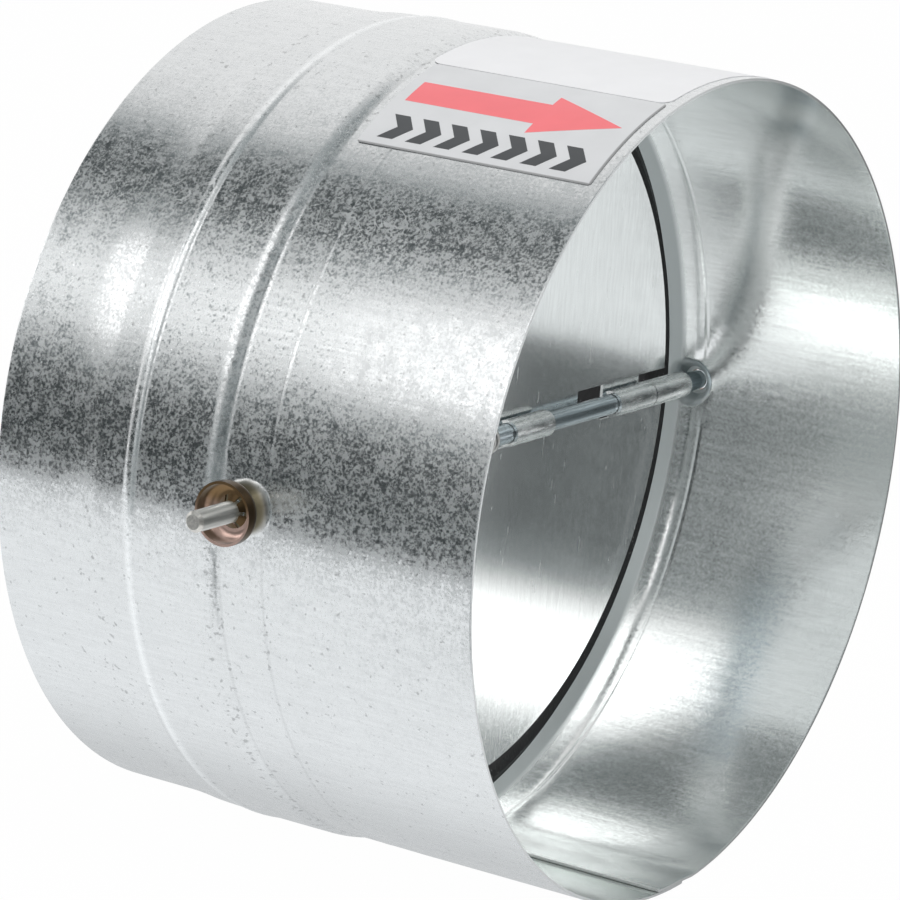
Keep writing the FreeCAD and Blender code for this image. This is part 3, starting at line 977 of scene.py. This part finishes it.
def wire_tube(name, path, radius, material, sides=12):
    """Round wire along a path, closed at both ends."""
    vertices = []
    faces = []
    normal = Vector((0, 1, 0))
    for index, point in enumerate(path):
        before = path[max(index - 1, 0)]
        after = path[min(index + 1, len(path) - 1)]
        tangent = (after - before).normalized()
        normal = (normal - tangent * normal.dot(tangent)).normalized()
        across = tangent.cross(normal)
        for side in range(sides):
            turn = 2 * math.pi * side / sides
            vertices.append(point + radius * (normal * math.cos(turn) + across * math.sin(turn)))
    for index in range(len(path) - 1):
        for side in range(sides):
            corner = index * sides + side
            following = index * sides + (side + 1) % sides
            faces.append((corner, following, following + sides, corner + sides))
    faces.append(tuple(reversed(range(sides))))
    faces.append(tuple(range(len(vertices) - sides, len(vertices))))
    made = new_object(name, vertices, faces, material)
    made.data.set_sharp_from_angle(angle=SHARP_ANGLE)
    return made


class DAMPER_OT_casing(Operator):
    """Rolls the galvanised casing with its bead, lap seam and bosses"""

    bl_idname = "damper.casing"
    bl_label = "Casing"

    def execute(self, context):
        finish = context.scene.damper_finish
        casing = context.scene.damper_casing
        made = casing_sheet(casing, galvanised_casing(finish, casing))
        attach(made, "casing")
        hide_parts("casing")
        return {"FINISHED"}


class DAMPER_OT_blades(Operator):
    """Finishes the two blades with their rolled knuckles"""

    bl_idname = "damper.blades"
    bl_label = "Blades"

    def execute(self, context):
        finish = context.scene.damper_finish
        material = galvanised_blade(finish)
        for name in ("upper_blade", "lower_blade"):
            node = dressed(name, material)
            round_edges(node, finish.edge_round)
        return {"FINISHED"}


class DAMPER_OT_seal(Operator):
    """Finishes the rubber seal ring"""

    bl_idname = "damper.seal"
    bl_label = "Seal ring"

    def execute(self, context):
        node = dressed("seal_ring", seal_rubber(context.scene.damper_finish))
        # The casing wall mirrors the bright inlet past the blades' edge, not the ring
        node.visible_glossy = False
        return {"FINISHED"}


class DAMPER_OT_fittings(Operator):
    """Finishes the hinge shaft and its push-on washers"""

    bl_idname = "damper.fittings"
    bl_label = "Shaft and washers"

    def execute(self, context):
        finish = context.scene.damper_finish
        dressed("shaft", plated_rod(finish))
        washer = bronzed_steel(finish)
        for name in ("near_push_washer", "far_push_washer"):
            # The rough wall behind keeps its grey, without a brown smear
            dressed(name, washer).visible_glossy = False
        return {"FINISHED"}


class DAMPER_OT_spring(Operator):
    """Winds the torsion spring in two halves, each with a leg against one blade"""

    bl_idname = "damper.spring"
    bl_label = "Torsion spring"

    turns: FloatProperty(name="Turns", description="Turns of the whole coil", default=6.0)
    clearance: length("Clearance", 0.00015, "Gap between the coil and the shaft")
    wire: length("Wire", 0.0009, "Diameter of the wire")
    leg_gap: length("Leg gap", 0.00055, "From the blade's plate to the middle of a leg")
    plate_gap: length("Plate gap", 0.0001, "From the shaft to the blade's plate")

    def half_path(self):
        """Middle of the wire from the middle of the coil to the tip of the upper leg."""
        coil_radius = SHAFT_RADIUS + self.clearance + self.wire / 2
        half_length = (SPRING_HIGH.y - SPRING_LOW.y - self.wire) / 2
        tip_x = self.leg_gap - SHAFT_RADIUS - self.plate_gap
        tip = Vector((tip_x, half_length, SPRING_HIGH.z - SHAFT_Z - self.wire / 2))
        reach = math.hypot(tip.x, tip.z)
        lean = math.atan2(-tip.x, tip.z) + math.asin(coil_radius / reach)
        sweep = math.pi * self.turns + lean
        steps = 96
        leg_steps = 12
        path = []
        for step in range(steps + 1):
            turn = lean - sweep * (1 - step / steps)
            y = half_length * step / steps
            path.append(Vector((coil_radius * math.cos(turn), y, coil_radius * math.sin(turn))))
        root = path[-1]
        path.extend(root.lerp(tip, step / leg_steps) for step in range(1, leg_steps + 1))
        return path

    def execute(self, context):
        material = spring_wire(context.scene.damper_finish)
        middle = Vector((SHAFT_X, (SPRING_LOW.y + SPRING_HIGH.y) / 2, SHAFT_Z))
        upper_path = self.half_path()
        for name, side in (("upper", 1), ("lower", -1)):
            path = [middle + Vector((point.x, side * point.y, side * point.z)) for point in upper_path]
            made = wire_tube(f"spring_{name}_half", path, self.wire / 2, material)
            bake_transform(made)
            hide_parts("torsion_spring")
        return {"FINISHED"}


class DAMPER_OT_labels(Operator):
    """Sticks the flow label and the plain label on the outlet collar"""

    bl_idname = "damper.labels"
    bl_label = "Labels"

    def stick(self, made, slot, *nodes):
        """Fixes a piece of a label to the casing."""
        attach(made, "casing")
        if nodes:
            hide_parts(*nodes)

    def execute(self, context):
        casing = context.scene.damper_casing
        labels = context.scene.damper_labels
        film = flow_film(labels, FLOW_HIGH.x, label_turns("flow_label")[1])
        paper = label_stock("label_paper", labels.paper, roughness=0.5, mottle=0.03)
        red = label_stock("label_red", labels.red, roughness=0.4, mottle=0.05)
        ink = label_stock("label_ink", labels.ink, roughness=0.4, mottle=0.10)
        sheets = (
            ("flow_film", "flow_label", FLOW_LOW, FLOW_HIGH, labels.flow_corner, film, "flow_label"),
            ("plain_paper", "plain_label", PLAIN_LOW, PLAIN_HIGH, labels.plain_corner, paper, "white_label"),
        )
        for name, node_name, low, high, corner, material, slot in sheets:
            outline = rounded_label(casing, (low.x, high.x), label_turns(node_name), corner)
            made = skin_object(name, casing, [(outline, (96, 24))], labels.lift, material)
            thicken(made, labels.lift)
            self.stick(made, slot, node_name)
        height = labels.lift + labels.print_lift
        arrow = skin_object("flow_arrow", casing, arrow_patches(labels), height, red)
        chevrons = skin_object("flow_chevrons", casing, chevron_patches(labels), height, ink)
        for made in (arrow, chevrons):
            thicken(made, labels.print_lift)
            self.stick(made, "flow_label")
        return {"FINISHED"}


# Brightness round the light tent as (degrees from the near side over the top, strength)
TENT_FAR_LEFT = (
    (-40, 0.055), (10, 0.06), (22, 0.90), (30, 1.80), (48, 1.80), (58, 0.60),
    (68, 0.12), (80, 0.08), (92, 0.80), (110, 0.94),
)
TENT_DIM_LEFT = (
    (-40, 0.05), (10, 0.05), (22, 0.19), (32, 0.38), (44, 0.40), (53, 0.22),
    (63, 0.08), (82, 0.07), (93, 0.80), (110, 0.94),
)
TENT_LEFT = (
    (-40, 0.05), (8, 0.05), (17, 0.36), (25, 1.70), (42, 1.70), (53, 0.65),
    (61, 0.10), (79, 0.07), (91, 0.82), (110, 0.94),
)
TENT_MIDDLE = (
    (-40, 0.30), (-16, 0.35), (-6, 0.50), (14, 0.80), (24, 1.50), (56, 1.50),
    (68, 0.60), (80, 0.35), (100, 0.60), (116, 0.94),
)
TENT_CREST = (
    (-40, 0.30), (2, 0.20), (14, 0.24), (48, 0.26), (60, 0.30), (74, 0.32),
    (100, 0.36), (116, 0.94),
)
TENT_SLOPE = (
    (-40, 0.07), (10, 0.12), (22, 0.50), (42, 0.60), (56, 0.30), (68, 0.12),
    (104, 0.12), (116, 0.94),
)
TENT_WALL = (
    (-40, 0.44), (-5, 0.46), (20, 0.46), (34, 0.44), (48, 0.48), (60, 1.60),
    (74, 2.50), (92, 2.50), (103, 1.95), (112, 1.25), (122, 0.82), (135, 0.56),
    (150, 0.54), (180, 0.63),
)
TENT_BLADE = (
    (-40, 0.05), (36, 0.045), (50, 0.22), (62, 1.65), (76, 2.40), (88, 1.65),
    (98, 0.48), (108, 0.18), (130, 0.28), (150, 0.45), (180, 0.62),
)
TENT_PEAK = 2.5

# The strips of the tent from left to right, and where each one runs into the next
TENT_STRIPS = (
    TENT_FAR_LEFT, TENT_DIM_LEFT, TENT_LEFT, TENT_MIDDLE, TENT_CREST, TENT_SLOPE, TENT_WALL, TENT_BLADE,
)
TENT_SEAMS = (
    (-1.74, -1.56), (-1.34, -1.24), (-1.00, -0.85), (-0.46, -0.34), (0.02, 0.12), (0.45, 0.62),
    (1.085, 1.105),
)


class DAMPER_OT_studio(Operator):
    """Sets the floor, the light tent, the lamps, the world and the camera"""

    bl_idname = "damper.studio"
    bl_label = "Studio"

    tent_low: angle("Tent low", -40.0, "Lowest edge of the tent on the near side")
    tent_high: angle("Tent high", 180.0, "Last edge of the tent on the far side")

    def background_share(self, graph):
        """One for rays that show the background: straight from the camera, by gloss or through glass."""
        path = graph.node("LightPath").outputs
        shown = graph.math("MAXIMUM", path["Is Camera Ray"], path["Is Glossy Ray"])
        return graph.math("MAXIMUM", shown, path["Is Transmission Ray"])

    def world(self, context, studio):
        """White behind the damper, and softer on matt surfaces."""
        world = bpy.data.worlds.new("studio_white")
        context.scene.world = world
        world.use_nodes = True
        graph = Graph(world.node_tree)
        background = world.node_tree.nodes["Background"]
        background.inputs["Color"].default_value = WHITE
        shown = self.background_share(graph)
        graph.feed(background.inputs["Strength"], graph.spread(shown, 0.0, 1.0, studio.ambient, 1.0))

    def floor(self, studio):
        """White sheet that the damper lies on, which keeps a faint shadow, with a painted shadow right below
        the damper that only the metal mirrors.
        """
        material, graph, surface = stage_material("floor_white")
        matt = graph.node("BsdfDiffuse", {"Color": rgba(studio.floor_paint)})
        place = graph.axes()
        # Painted shadow: the glow that the metal mirrors is darker right below the damper, and white again
        # past the outlet
        off = graph.math("ABSOLUTE", place["Y"])
        beside = graph.spread(off, studio.shade_inner, studio.shade_outer, studio.shade, 1.0, smooth=True)
        beyond = graph.spread(place["X"], OUTLET_X, OUTLET_X + studio.shade_inner)
        shade = graph.math("MAXIMUM", beside, beyond)
        glossy = graph.node("LightPath").outputs["Is Glossy Ray"]
        shade = graph.math("MAXIMUM", shade, graph.math("SUBTRACT", 1.0, glossy))
        tint = graph.blend(glossy, WHITE, rgba(studio.floor_tint))
        glow = graph.node("Emission", {"Color": tint, "Strength": shade})
        fraction = graph.spread(self.background_share(graph), 0.0, 1.0, 0.0, studio.floor_glow)
        mixed = graph.node("MixShader", {0: fraction, 1: matt.outputs[0], 2: glow.outputs[0]})
        graph.feed(surface, mixed.outputs[0])
        side = studio.floor_side
        height = CASING_LOW.z
        corners = []
        for start, end, front in ((-side, 0.0, studio.floor_left), (0.0, side, studio.floor_right)):
            back = studio.floor_back
            corners.extend([
                (start, front, height), (end, front, height), (end, back, height), (start, back, height)
            ])
        new_object("floor", corners, [(0, 1, 2, 3), (4, 5, 6, 7)], material)

    def tent(self, studio):
        """Half round of bright and dark cloth that the metal reflects."""
        material, graph, surface = stage_material("tent_cloth")
        place = graph.axes()
        turn = graph.math("ARCTAN2", place["Z"], graph.math("MULTIPLY", place["Y"], -1.0))
        turn_share = graph.spread(turn, self.tent_low, self.tent_high)

        def ramp(stops):
            made = graph.node("ValToRGB", {"Fac": turn_share})
            elements = made.color_ramp.elements
            span = math.degrees(self.tent_high - self.tent_low)
            while len(elements) < len(stops):
                elements.new(0.5)
            for element, (degrees, strength) in zip(elements, stops):
                element.position = (degrees - math.degrees(self.tent_low)) / span
                element.color = [strength / TENT_PEAK] * 3 + [1.0]
            return made.outputs["Color"]

        cloth = ramp(TENT_STRIPS[0])
        for strip, (start, end) in zip(TENT_STRIPS[1:], TENT_SEAMS):
            cloth = graph.blend(graph.spread(place["X"], start, end, smooth=True), cloth, ramp(strip))
        cool = graph.vector("MULTIPLY", cloth, studio.dark_tint[:])
        bright = graph.spread(graph.dot(cloth, (1.0, 0.0, 0.0)), low=0.04, high=0.30)
        glow = graph.node("Emission", {"Color": graph.blend(bright, cool, cloth), "Strength": TENT_PEAK})
        graph.feed(surface, glow.outputs[0])
        steps = 72
        corners = []
        for step in range(steps + 1):
            turn_here = self.tent_low + (self.tent_high - self.tent_low) * step / steps
            y = -studio.tent_radius * math.cos(turn_here)
            z = studio.tent_radius * math.sin(turn_here)
            corners.extend([(-studio.tent_side, y, z), (studio.tent_side, y, z)])
        faces = [(2 * step, 2 * step + 1, 2 * step + 3, 2 * step + 2) for step in range(steps)]
        made = new_object("tent", corners, faces, material)
        mirrored_only(made)

    def ring_card(self, casing, studio):
        """Sheet round the blades that only the wall mirrors, in place of the black ring."""
        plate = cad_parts["upper_blade"].data
        inner = max(vertex.co.z for vertex in plate.vertices)
        outer = collar_radius(casing) - 2 * casing.sheet
        x = SHAFT_X - SHAFT_RADIUS - studio.card_gap
        steps = 96
        corners = []
        for step in range(steps):
            turn = 2 * math.pi * step / steps
            way = Vector((0.0, math.cos(turn), math.sin(turn)))
            corners.extend(Vector((x, 0.0, 0.0)) + radius * way for radius in (inner, outer))
        count = len(corners)
        faces = [(i, (i + 2) % count, (i + 3) % count, i + 1) for i in range(0, count, 2)]
        made = new_object("ring_card", corners, faces, plate.materials[0])
        mirrored_only(made)

    def lamp(self, name, place, size, power):
        """Soft lamp that lights the matt surfaces and aims at the damper."""
        data = bpy.data.lights.new(name, "AREA")
        data.shape = "SQUARE"
        data.size = size
        data.energy = power
        made = bpy.data.objects.new(name, data)
        bpy.context.scene.collection.objects.link(made)
        made.location = place
        made.rotation_euler = (-Vector(place)).to_track_quat("-Z", "Y").to_euler()
        made.visible_camera = False
        made.visible_glossy = False

    def camera(self, context, studio):
        """Camera at the photograph's viewing angle."""
        data = bpy.data.cameras.new("camera")
        data.sensor_width = studio.sensor
        data.lens = studio.lens
        data.clip_start = studio.clip_start
        data.clip_end = studio.clip_end
        made = bpy.data.objects.new("camera", data)
        context.scene.collection.objects.link(made)
        flat = math.cos(studio.camera_elevation)
        back = Vector((
            math.sin(studio.camera_azimuth) * flat,
            -math.cos(studio.camera_azimuth) * flat,
            math.sin(studio.camera_elevation),
        ))
        level = Vector((0, 0, 1)).cross(back).normalized()
        upright = back.cross(level)
        turn = studio.camera_roll
        right = level * math.cos(turn) + upright * math.sin(turn)
        up = upright * math.cos(turn) - level * math.sin(turn)
        rotation = Matrix((right, up, back)).transposed().to_4x4()
        place = Vector(studio.camera_aim) + back * studio.camera_distance
        made.matrix_world = Matrix.Translation(place) @ rotation
        context.scene.camera = made

    def execute(self, context):
        studio = context.scene.damper_studio
        context.scene.view_settings.view_transform = "Standard"
        context.scene.cycles.max_bounces = studio.bounces
        context.scene.cycles.glossy_bounces = studio.bounces
        self.world(context, studio)
        self.floor(studio)
        self.tent(studio)
        self.ring_card(context.scene.damper_casing, studio)
        self.lamp("lamp_left", place=(-0.9, -1.1, 0.9), size=0.8, power=5.0)
        self.lamp("lamp_top", place=(0.5, -0.3, 1.4), size=1.0, power=8.0)
        self.camera(context, studio)
        return {"FINISHED"}


class DAMPER_PT_panel(Panel):
    """Lists the pieces of the damper and their sizes"""

    bl_label = "Backdraft damper"
    bl_idname = "DAMPER_PT_panel"
    bl_space_type = "VIEW_3D"
    bl_region_type = "UI"
    bl_category = "Damper"

    def draw(self, context):
        for operator in PIECES:
            self.layout.operator(operator.bl_idname)
        for name in SETTINGS:
            box = self.layout.box()
            settings = getattr(context.scene, name)
            for prop in settings.bl_rna.properties:
                if prop.identifier not in ("rna_type", "name"):
                    box.prop(settings, prop.identifier)


PIECES = (
    DAMPER_OT_casing,
    DAMPER_OT_blades,
    DAMPER_OT_seal,
    DAMPER_OT_fittings,
    DAMPER_OT_spring,
    DAMPER_OT_labels,
    DAMPER_OT_studio,
)

SETTINGS = {
    "damper_casing": CasingSettings,
    "damper_finish": FinishSettings,
    "damper_labels": LabelSettings,
    "damper_studio": StudioSettings,
}


def register():
    """Adds the classes and their settings to Blender."""
    for group in SETTINGS.values():
        bpy.utils.register_class(group)
    for operator in PIECES:
        bpy.utils.register_class(operator)
    bpy.utils.register_class(DAMPER_PT_panel)
    for name, group in SETTINGS.items():
        setattr(bpy.types.Scene, name, PointerProperty(type=group))


def unregister():
    """Takes the classes and their settings out of Blender."""
    for name in SETTINGS:
        delattr(bpy.types.Scene, name)
    bpy.utils.unregister_class(DAMPER_PT_panel)
    for operator in reversed(PIECES):
        bpy.utils.unregister_class(operator)
    for group in reversed(list(SETTINGS.values())):
        bpy.utils.unregister_class(group)


def main():
    """Builds the pieces and the studio."""
    register()
    bpy.ops.damper.casing()
    bpy.ops.damper.blades()
    bpy.ops.damper.seal()
    bpy.ops.damper.fittings()
    bpy.ops.damper.spring()
    bpy.ops.damper.labels()
    bpy.ops.damper.studio()


if __name__ == "__main__":
    main()
